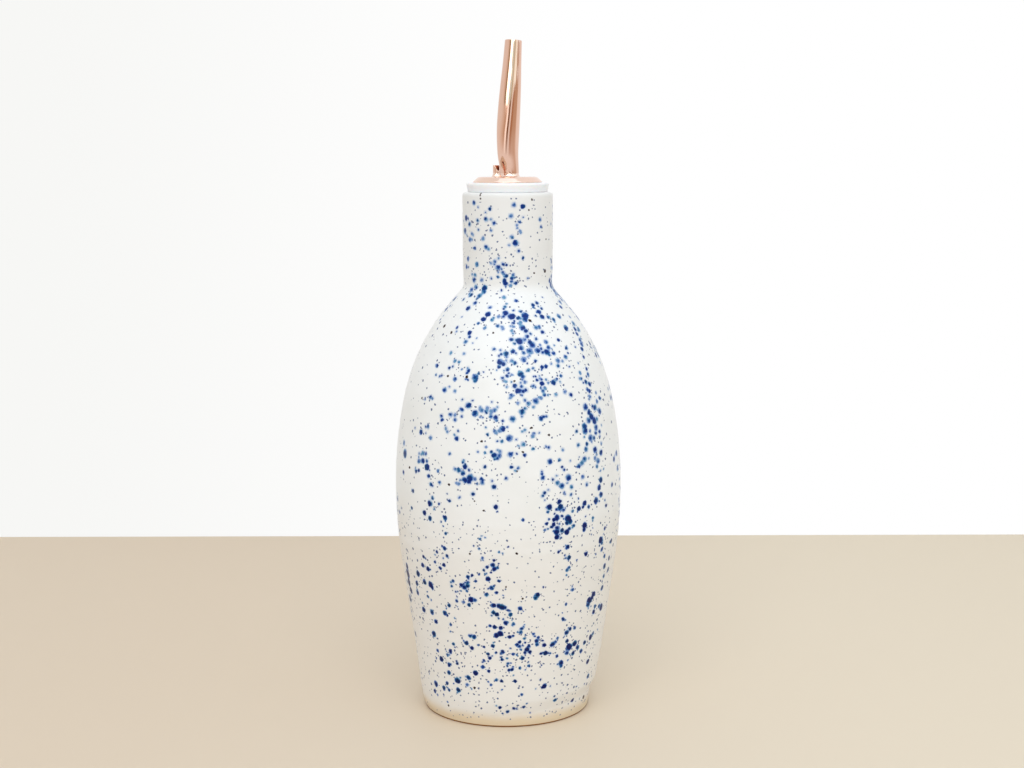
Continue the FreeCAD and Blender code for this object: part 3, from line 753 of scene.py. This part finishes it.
flick_reach = 2.2 * mm
specks_a_face = 7
speck_reach = 1.4 * mm


def placed_on(piece, marks, growth=1.0):
    """Where lines from the camera through these places in the photograph meet the piece.

    A round spot looks narrower where the glaze turns away, so there its real size is larger.
    """
    surface = bvhtree.BVHTree.FromPolygons([corner.co for corner in piece.data.vertices],
                                           [face.vertices for face in piece.data.polygons])
    placed = []
    for right, down, half_width in marks:
        ahead = Vector((right - photo_width / 2, photo_height / 2 - down, -focal_pixels))
        direction = camera.matrix_world.to_quaternion() @ ahead.normalized()
        place, normal, face, distance = surface.ray_cast(camera.location, direction)
        if place is not None:
            facing = max(abs(normal.dot(direction)), least_facing)
            size = growth * half_width * distance / focal_pixels / math.sqrt(facing)
            placed.append((place, size))
    return placed


def on_outside(height, angle):
    """The place on the glaze at this height and angle, found from outside."""
    outward = Vector((math.cos(angle), math.sin(angle), 0))
    surface = outside_surface.ray_cast(outward * 0.1 + up * height, -outward)
    return surface[0]


def sprinkled(chance, spots, counts, spread, least, most):
    """Finer spots at random round each of these."""
    fine = []
    for place, radius in spots:
        around = math.hypot(place.x, place.y)
        for speck in range(chance.choice(counts)):
            height = place.z + chance.gauss(0, spread)
            angle = math.atan2(place.y, place.x) + chance.gauss(0, spread) / around
            fine.append((on_outside(height, angle), chance.uniform(least, most)))
    return [spot for spot in fine if spot[0] is not None]


def strewn(chance, count, top, least, most):
    """Spots anywhere on the outside, up to this height."""
    fine = []
    for spot in range(count):
        place = on_outside(chance.uniform(2 * mm, top), chance.uniform(0, math.tau))
        fine.append((place, chance.uniform(least, most)))
    return fine


def flicked_behind(chance):
    """Sprays of cobalt on the side that the photograph doesn't show, like those it shows."""
    facing_camera = math.atan2(-looking.y, -looking.x)
    spots = []
    for spray in range(sprays_behind):
        middle = facing_camera + chance.uniform(math.radians(75), math.radians(285))
        height = chance.uniform(8, 200) * mm
        lean = chance.uniform(0, math.pi)
        length = chance.uniform(4, 14) * mm
        width = chance.uniform(2, 5) * mm
        for spot in range(chance.randint(8, 26)):
            along = chance.gauss(0, 1) * length
            beside = chance.gauss(0, 1) * width
            rise = along * math.sin(lean) + beside * math.cos(lean)
            sideways = along * math.cos(lean) - beside * math.sin(lean)
            angle = middle + sideways / (40 * mm)
            turned = (angle - facing_camera) % math.tau
            size = min(chance.lognormvariate(math.log(0.5), 0.38), 1.15) * mm
            if 5 * mm < height + rise < 205 * mm and math.radians(72) < turned < math.radians(288):
                place = on_outside(height + rise, angle)
                if place is not None:
                    spots.append((place, size))
    return spots


def store_spots(piece, name, spots, count, reach):
    """Keep the nearest spots with each face, for the glaze's shader to draw as round dots."""
    faces = piece.data.polygons
    finder = kdtree.KDTree(len(faces))
    for face in faces:
        finder.insert(face.center, face.index)
    finder.balance()
    near = [[] for face in faces]
    for place, radius in spots:
        for centre, index, distance in finder.find_range(place, radius + reach):
            near[index].append((distance - radius, *place, radius))
    kept = np.zeros((count, len(faces), 4), np.float32)
    kept[:, :, 2] = -1
    for index, found in enumerate(near):
        for rank, spot in enumerate(sorted(found)[:count]):
            kept[rank, index] = spot[1:]
    for rank in range(count):
        centres = piece.data.attributes.new(f"{name}_place_{rank}", "FLOAT_VECTOR", "FACE")
        centres.data.foreach_set("vector", kept[rank, :, :3].ravel())
        sizes = piece.data.attributes.new(f"{name}_size_{rank}", "FLOAT", "FACE")
        sizes.data.foreach_set("value", kept[rank, :, 3].ravel())


def depths_in_spots(tree, place, name, count):
    """How far inside each near spot's edge a point is, in metres, less than 0 outside."""
    depths = []
    for rank in range(count):
        centre = add(tree, "ShaderNodeAttribute", attribute_name=f"{name}_place_{rank}")
        size = add(tree, "ShaderNodeAttribute", attribute_name=f"{name}_size_{rank}")
        distance = add(tree, "ShaderNodeVectorMath", {0: place, 1: centre.outputs["Vector"]},
                       operation="DISTANCE").outputs["Value"]
        depths.append(calculate(tree, "SUBTRACT", size.outputs["Fac"], distance))
    return depths


def speckled_glaze():
    material, tree = new_material("speckled_satin_glaze")
    place = add(tree, "ShaderNodeTexCoord").outputs["Object"]
    height = add(tree, "ShaderNodeSeparateXYZ", {0: place}).outputs["Z"]

    # The glaze is a little uneven in tone, and a little darker and warmer below the belly. Near
    # the foot it thins and warms, and stops just above the ring that stands on the table, where
    # the clay is bare
    clouds = add(tree, "ShaderNodeTexNoise", {"Vector": place, "Scale": 55.0, "Detail": 3.0})
    cream = blended(tree, fade(tree, clouds.outputs["Fac"], 0.35, 0.7),
                    colour(241, 242, 242), colour(238, 239, 238))
    cream = blended(tree, fade(tree, height, 96 * mm, 60 * mm), cream, colour(237, 235, 232))
    # The neck is painted a little greyer, which is painted shade
    cream = blended(tree, fade(tree, height, 168 * mm, 184 * mm), cream, colour(235, 235, 234))
    patches = add(tree, "ShaderNodeTexNoise", {"Vector": place, "Scale": 130.0, "Detail": 2.0})
    wander = calculate(tree, "MULTIPLY", patches.outputs["Fac"], -2.2 * mm)
    glaze_edge = calculate(tree, "ADD", height, wander)
    cream = blended(tree, fade(tree, glaze_edge, toasted_top, toasted_full), cream,
                    colour(226, 208, 179))
    # The bare clay is painted dark brown, partly its own colour and partly painted shadow where the
    # foot meets the table
    bare_clay_and_shadow = fade(tree, height, clay_and_shadow_top, clay_and_shadow_full)
    grain = add(tree, "ShaderNodeTexNoise", {"Vector": place, "Scale": 900.0, "Detail": 4.0})
    clay_and_contact_shadow = blended(tree, grain.outputs["Fac"], colour(124, 74, 14), colour(156, 104, 38))
    cream = blended(tree, bare_clay_and_shadow, cream, clay_and_contact_shadow)

    # Each cobalt drop sinks in with a ragged edge, and a thin one stays paler or greener.
    # Above the belly the drops bleed more, with softer edges, and their blue is painted brighter
    # there, which is a painted sheen
    ragged = add(tree, "ShaderNodeTexNoise", {"Vector": place, "Scale": 900.0, "Detail": 2.5})
    push = add(tree, "ShaderNodeVectorMath", {0: ragged.outputs["Color"], 1: (0.5, 0.5, 0.5)},
               operation="SUBTRACT").outputs["Vector"]
    push = add(tree, "ShaderNodeVectorMath", {0: push, "Scale": 0.95 * mm}, operation="SCALE")
    bent = add(tree, "ShaderNodeVectorMath", {0: place, 1: push.outputs["Vector"]},
               operation="ADD").outputs["Vector"]
    depth = None
    wash = None
    for inside in depths_in_spots(tree, bent, "cobalt", flicks_a_face):
        nearness = fade_evenly(tree, inside, -1.1 * mm, 0)
        nearness = calculate(tree, "MULTIPLY", nearness, nearness)
        if depth is None:
            depth = inside
            wash = nearness
        else:
            depth = calculate(tree, "SMOOTH_MAX", depth, inside, 0.06 * mm)
            wash = calculate(tree, "ADD", wash, nearness)
    tone = add(tree, "ShaderNodeTexNoise", {"Vector": place, "Scale": 300.0, "Detail": 2.0})
    bleed_and_sheen = fade(tree, height, 70 * mm, 115 * mm)
    thinning = fade(tree, bleed_and_sheen, 0, 1, 0.4 * mm, 0.7 * mm)
    thin = calculate(tree, "MULTIPLY", fade(tree, tone.outputs["Fac"], 0.36, 0.64), thinning)
    thick = calculate(tree, "SUBTRACT", depth, thin)
    greener = fade(tree, tone.outputs["Color"], 0.45, 0.62)
    pale_blue = blended(tree, greener, colour(112, 142, 192), colour(98, 150, 186))
    middle_blue = blended(tree, greener, colour(28, 78, 154), colour(18, 92, 146))
    lower_blue = blended(tree, greener, colour(3, 18, 88), colour(4, 36, 84))
    # Painted sheen: above the belly the drops' blue is painted brighter
    sheen_brightened_blue = blended(tree, greener, colour(6, 42, 118), colour(4, 56, 112))
    deep_blue = blended(tree, bleed_and_sheen, lower_blue, sheen_brightened_blue)
    blue = blended(tree, fade(tree, thick, -0.35 * mm, -0.05 * mm), pale_blue, middle_blue)
    blue = blended(tree, fade(tree, thick, -0.1 * mm, 0.35 * mm), blue, deep_blue)

    # A pale halo bleeds from each drop, and a blue wash joins those that land close together
    bleeding = fade(tree, bleed_and_sheen, 0, 1, 0.15, 0.65)
    patchy = fade(tree, patches.outputs["Fac"], 0.4, 0.6, 0.35, 1.0)
    bleeding = calculate(tree, "MULTIPLY", bleeding, patchy)
    halo = calculate(tree, "MULTIPLY", fade(tree, depth, -0.9 * mm, 0.0), bleeding)
    washed = blended(tree, halo, cream, colour(136, 164, 206))
    washed = blended(tree, fade(tree, wash, 0.4, 2.0, 0.0, 0.75), washed, colour(136, 164, 212))
    washed = blended(tree, fade(tree, wash, 1.6, 3.4, 0.0, 0.85), washed, colour(66, 102, 170))
    specks = None
    for inside in depths_in_spots(tree, bent, "speck", specks_a_face):
        specks = inside if specks is None else calculate(tree, "MAXIMUM", specks, inside)
    shade = blended(tree, fade(tree, specks, -0.1 * mm, 0.08 * mm), washed, colour(92, 106, 140))
    shade = blended(tree, fade(tree, depth, -0.18 * mm, 0.08 * mm), shade, blue)

    iron = depths_in_spots(tree, bent, "iron", 1)[0]
    shade = blended(tree, fade(tree, iron, -0.12 * mm, 0.08 * mm), shade, colour(50, 30, 30))

    # Satin gloss, rougher on bare clay, with the faint dimpling of a fired glaze
    roughness = fade(tree, bare_clay_and_shadow, 0.0, 1.0, 0.3, 0.8)
    dimples = add(tree, "ShaderNodeTexNoise", {"Vector": place, "Scale": 420.0, "Detail": 3.0})
    bump = add(tree, "ShaderNodeBump", {"Height": dimples.outputs["Fac"], "Strength": 0.12,
                                        "Distance": 0.15 * mm})
    shader = add(tree, "ShaderNodeBsdfPrincipled", {
        "Base Color": shade, "Roughness": roughness, "Normal": bump.outputs["Normal"],
        "Specular IOR Level": 0.15,
    })
    add(tree, "ShaderNodeOutputMaterial", {"Surface": shader.outputs[0]})
    return material


bottle = make_bottle()
outside_surface = bvhtree.BVHTree.FromPolygons([corner.co for corner in bottle.data.vertices],
                                               [face.vertices for face in bottle.data.polygons])
chance = random.Random(11)
flicks = placed_on(bottle, neck_flicks + neck_root_flicks + shoulder_flicks
                   + upper_belly_flicks + right_belly_flicks + left_belly_flicks
                   + lower_left_flicks + lower_right_flicks, flick_edge)
flicks += flicked_behind(chance)
specks = placed_on(bottle, [(right, down, speck_half_width) for right, down in fine_specks])
specks += sprinkled(chance, flicks, (0, 1, 1, 2, 3), 2.6 * mm, 0.17 * mm, 0.35 * mm)
specks += strewn(chance, specks_all_over, speckled_top, 0.14 * mm, 0.33 * mm)
specks += strewn(chance, specks_low_down, low_specks_top, 0.18 * mm, 0.38 * mm)
droplets = sprinkled(chance, flicks, (0, 0, 1, 1, 2), 2.0 * mm, 0.26 * mm, 0.46 * mm)
store_spots(bottle, "cobalt", flicks + droplets, flicks_a_face, flick_reach)
store_spots(bottle, "speck", specks, specks_a_face, speck_reach)
store_spots(bottle, "iron", placed_on(bottle, iron_specks), 1, speck_reach)
bottle.data.materials.append(speckled_glaze())
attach(bottle, "bottle")
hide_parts("bottle")

# Stopper: moulded in one piece from white silicone. Its flared lip rests on the bottle's
# rim, and four thin fins round the plug below seal in the neck.
lip_height = 3.7 * mm
lip_bottom_radius = 15.7 * mm
lip_top_radius = 16.5 * mm
lip_top_round = 0.9 * mm
lip_bottom_round = 0.55 * mm
plug_length = 26.0 * mm
plug_radius = 10.4 * mm
plug_end_round = 1.5 * mm
fin_count = 4
fin_pitch = 5.6 * mm
first_fin_depth = 3.9 * mm
fin_radius = neck_bore_radius - 0.15 * mm
fin_root_half_thickness = 1.0 * mm
fin_edge_half_thickness = 0.45 * mm
fin_edge_round = 0.35 * mm
fin_root_round = 0.5 * mm


def make_stopper():
    rim = bottle_height
    plug_end = rim - plug_length
    corners = [
        (Vector((0, plug_end)), 0),
        (Vector((plug_radius, plug_end)), plug_end_round),
    ]
    for fin in reversed(range(fin_count)):
        height = rim - first_fin_depth - fin_pitch * fin
        corners += [
            (Vector((plug_radius, height - fin_root_half_thickness)), fin_root_round),
            (Vector((fin_radius, height - fin_edge_half_thickness)), fin_edge_round),
            (Vector((fin_radius, height + fin_edge_half_thickness)), fin_edge_round),
            (Vector((plug_radius, height + fin_root_half_thickness)), fin_root_round),
        ]
    corners += [
        (Vector((plug_radius, rim)), 0),
        (Vector((lip_bottom_radius, rim)), lip_bottom_round),
        (Vector((lip_top_radius, rim + lip_height)), lip_top_round),
        (Vector((0, rim + lip_height)), 0),
    ]
    outline = evenly_divided(rounded_path(corners, 0.2 * mm), 1.0 * mm)
    return make_piece("silicone_stopper", turned(outline))


def silicone():
    material, tree = new_material("white_silicone")
    place = add(tree, "ShaderNodeTexCoord").outputs["Object"]
    haze = add(tree, "ShaderNodeTexNoise", {"Vector": place, "Scale": 240.0, "Detail": 3.0})
    shade = blended(tree, haze.outputs["Fac"], colour(248, 249, 251), colour(243, 244, 246))
    bump = add(tree, "ShaderNodeBump", {"Height": haze.outputs["Fac"], "Strength": 0.05,
                                        "Distance": 0.1 * mm})
    shader = add(tree, "ShaderNodeBsdfPrincipled", {
        "Base Color": shade, "Roughness": 0.5, "Normal": bump.outputs["Normal"],
        "Subsurface Weight": 0.1, "Subsurface Scale": 2 * mm,
    })
    add(tree, "ShaderNodeOutputMaterial", {"Surface": shader.outputs[0]})
    return material


stopper = make_stopper()
stopper.data.materials.append(silicone())
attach(stopper, "pourer")
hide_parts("stopper")

# Cap disc: thin steel sheet pressed into a shallow dish over the stopper's lip, with a
# collar drawn up round each tube. It is plated like the tubes, and is given a paler copper
# here because it looks paler in the photograph: a lit copy of the plating, which is painted light.
disc_radius = 13.7 * mm
disc_flat_radius = 11.6 * mm
disc_edge_height = 0.35 * mm
disc_height = 2.3 * mm
disc_bend = 2.2 * mm
disc_edge_round = 0.16 * mm
spout_x = 1.1 * mm
spout_collar_foot = 4.6 * mm
spout_collar_height = 1.3 * mm
spout_radius = 3.7 * mm
air_x = -6.1 * mm
air_collar_foot = 2.3 * mm
air_collar_height = 1.6 * mm
air_radius = 1.45 * mm
steps_round_tube = 96
collar_steps = 12


def moved(surface, x):
    corners, faces = surface
    return [corner + Vector((x, 0, 0)) for corner in corners], faces


def make_collar(x, foot, height, radius):
    """A short flare of the sheet, drawn up against the tube."""
    top = bottle_height + lip_height + disc_height
    outline = []
    for step in range(collar_steps + 1):
        turn = math.pi / 2 * step / collar_steps
        outline.append(Vector((foot - (foot - radius) * math.sin(turn),
                               top + height * (1 - math.cos(turn)))))
    return moved(turned(outline, steps=steps_round_tube), x)


def make_disc():
    base = bottle_height + lip_height
    outline = rounded_path([
        (Vector((0, base)), 0),
        (Vector((disc_radius, base)), disc_edge_round),
        (Vector((disc_radius, base + disc_edge_height)), disc_edge_round),
        (Vector((disc_flat_radius, base + disc_height)), disc_bend),
        (Vector((0, base + disc_height)), 0),
    ], 0.1 * mm)
    return make_piece(
        "copper_disc", turned(evenly_divided(outline, 0.8 * mm)),
        make_collar(spout_x, spout_collar_foot, spout_collar_height, spout_radius),
        make_collar(air_x, air_collar_foot, air_collar_height, air_radius))


def rose_copper(name, first, second):
    material, tree = new_material(name)
    place = add(tree, "ShaderNodeTexCoord").outputs["Object"]
    clouds = add(tree, "ShaderNodeTexNoise", {"Vector": place, "Scale": 180.0, "Detail": 4.0})
    shade = blended(tree, clouds.outputs["Fac"], first, second)
    roughness = fade(tree, clouds.outputs["Fac"], 0.3, 0.7, 0.05, 0.09)
    shader = add(tree, "ShaderNodeBsdfPrincipled", {
        "Base Color": shade, "Roughness": roughness, "Metallic": 1.0,
    })
    add(tree, "ShaderNodeOutputMaterial", {"Surface": shader.outputs[0]})
    return material


def raw_bore_and_shade():
    """The tubes' insides, which the plating reaches but no polishing does. Their darker, redder
    colour is painted shade down the bore.
    """
    material, tree = new_material("raw_bore_and_shade")
    place = add(tree, "ShaderNodeTexCoord").outputs["Object"]
    stains = add(tree, "ShaderNodeTexNoise", {"Vector": place, "Scale": 500.0, "Detail": 4.0})
    shade = blended(tree, stains.outputs["Fac"], colour(160, 80, 52), colour(186, 106, 72))
    shader = add(tree, "ShaderNodeBsdfPrincipled", {
        "Base Color": shade, "Roughness": 0.45, "Metallic": 1.0,
    })
    add(tree, "ShaderNodeOutputMaterial", {"Surface": shader.outputs[0]})
    return material


plate = rose_copper("rose_copper_plate", colour(230, 192, 173), colour(225, 185, 165))
# Painted light: the disc's copper is painted paler than the tubes'
disc_plate_painted_paler = rose_copper("copper_plate_painted_paler", colour(244, 215, 200), colour(240, 209, 193))
bore_plate = raw_bore_and_shade()
disc = make_disc()
disc.data.materials.append(disc_plate_painted_paler)
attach(disc, "pourer")
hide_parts("cap_disc")

# Spout tube: thin steel tube, straight and round where it is pushed through the stopper.
# Above the disc it is pressed oval and bent a little, and it narrows to an open tip.
spout_wall = 0.4 * mm
spout_tail = 1.5 * mm
spout_row = 0.6 * mm
spout_tip_steps = 6
# Sections: height of the centre, its distance forward, half depth and half width
spout_sections = [
    (216.0, 1.1, 3.7, 3.7), (224.0, 0.2, 4.45, 3.85), (232.5, 0.3, 4.9, 4.05),
    (241.0, 0.95, 4.8, 4.05), (250.0, 1.8, 4.35, 3.9), (258.5, 2.6, 3.8, 3.6),
    (267.8, 3.4, 3.35, 3.35),
]


def spout_place(height):
    """The centre's distance forward, half depth and half width, smoothly between sections."""
    last = len(spout_sections) - 2
    place = 0
    while place < last and height > spout_sections[place + 1][0] * mm:
        place += 1
    before = spout_sections[max(place - 1, 0)]
    start, end = spout_sections[place:place + 2]
    after = spout_sections[min(place + 2, last + 1)]
    gap = end[0] - start[0]
    share = (height / mm - start[0]) / gap
    sizes = []
    for part in (1, 2, 3):
        leaving = (end[part] - before[part]) / (end[0] - before[0]) * gap
        coming = (after[part] - start[part]) / (after[0] - start[0]) * gap
        if place == 0:
            leaving = 0
        rise = end[part] - start[part]
        value = start[part] + share * (leaving + share * (
            3 * rise - 2 * leaving - coming + share * (leaving + coming - 2 * rise)))
        sizes.append(value * mm)
    return sizes


def oval_ring(height, inset, drop=0.0):
    """One ring of the spout, square to its centre line, drop below that height along it."""
    x, depth, width = spout_place(height)
    step = 0.05 * mm
    lean = math.atan2(x - spout_place(height - step)[0], step)
    centre = Vector((x - drop * math.sin(lean), 0, height - drop * math.cos(lean)))
    along = Vector((math.cos(lean), 0, -math.sin(lean)))
    ring = []
    for turn in range(steps_round_tube):
        angle = math.tau * turn / steps_round_tube
        ring.append(centre + along * ((depth - inset) * math.cos(angle))
                    + Vector((0, (width - inset) * math.sin(angle), 0)))
    return ring


def joined(rings):
    """The surface through these rings, with the last joined to the first."""
    corners = [corner for ring in rings for corner in ring]
    size = len(rings[0])
    faces = []
    for row in range(len(rings)):
        low = row * size
        high = (row + 1) % len(rings) * size
        for step in range(size):
            following = (step + 1) % size
            faces.append((low + step, low + following, high + following, high + step))
    return corners, faces


def make_tube(name, outer_rings, inner_rings):
    """A tube from the rings of its outside and end, and then those down its bore."""
    tube = make_piece(name, joined(outer_rings + inner_rings))
    tube.data.materials.append(plate)
    tube.data.materials.append(bore_plate)
    for face in tube.data.polygons[len(outer_rings) * steps_round_tube:]:
        face.material_index = 1
    return tube


def make_spout():
    bottom = bottle_height - plug_length - spout_tail
    collar_top = spout_sections[0][0] * mm
    tip = spout_sections[-1][0] * mm
    rows = math.ceil((tip - collar_top) / spout_row)
    heights = [collar_top + (tip - collar_top) * row / rows for row in range(1, rows)]
    edge = spout_wall / 2

    def straight_ring(radius, height):
        ring = []
        for turn in range(steps_round_tube):
            angle = math.tau * turn / steps_round_tube
            ring.append(Vector((spout_x + radius * math.cos(angle),
                                radius * math.sin(angle), height)))
        return ring

    bore = spout_radius - spout_wall
    outside = [straight_ring(spout_radius, bottom), straight_ring(spout_radius, collar_top)]
    outside += [oval_ring(height, 0) for height in heights]
    for turn in range(spout_tip_steps + 1):
        angle = math.pi * turn / spout_tip_steps
        outside.append(oval_ring(tip, edge - edge * math.cos(angle),
                                 edge - edge * math.sin(angle)))
    inside = [oval_ring(height, spout_wall) for height in reversed(heights)]
    inside += [straight_ring(bore, collar_top), straight_ring(bore, bottom)]
    return make_tube("copper_spout", outside, inside)


spout = make_spout()
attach(spout, "pourer")
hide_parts("spout_tube")

# Air tube: a thin straight steel tube behind the spout, with a slanted notch cut in one
# side of its top. It hangs down into the neck, and lets air in as the oil runs out.
air_wall = 0.35 * mm
air_top = 219.2 * mm
air_notch_start = -0.2 * mm
air_notch_drop = 2.8 * mm
air_tail = 22.0 * mm
air_edge_round = 0.06 * mm


def make_air_tube():
    bottom = bottle_height - plug_length - air_tail
    notch_slope = air_notch_drop / (air_radius + air_notch_start)

    def ring(radius, height=None, drop=0.0):
        """A ring at this height, or along the tube's cut end."""
        corners = []
        for turn in range(steps_round_tube):
            angle = math.tau * turn / steps_round_tube
            y = radius * math.sin(angle)
            cut = air_top - max(air_notch_start - y, 0) * notch_slope - drop
            corners.append(Vector((air_x + radius * math.cos(angle), y,
                                   cut if height is None else height)))
        return corners

    bore = air_radius - air_wall
    # One more ring just below the cut keeps the long sides' shading straight
    side = 2.5 * air_edge_round
    outside = [ring(air_radius, bottom), ring(air_radius, drop=side),
               ring(air_radius, drop=air_edge_round),
               ring(air_radius - air_edge_round), ring(bore + air_edge_round)]
    inside = [ring(bore, drop=air_edge_round), ring(bore, drop=side), ring(bore, bottom)]
    return make_tube("copper_air_tube", outside, inside)


air_tube = make_air_tube()
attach(air_tube, "pourer")
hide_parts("air_tube")
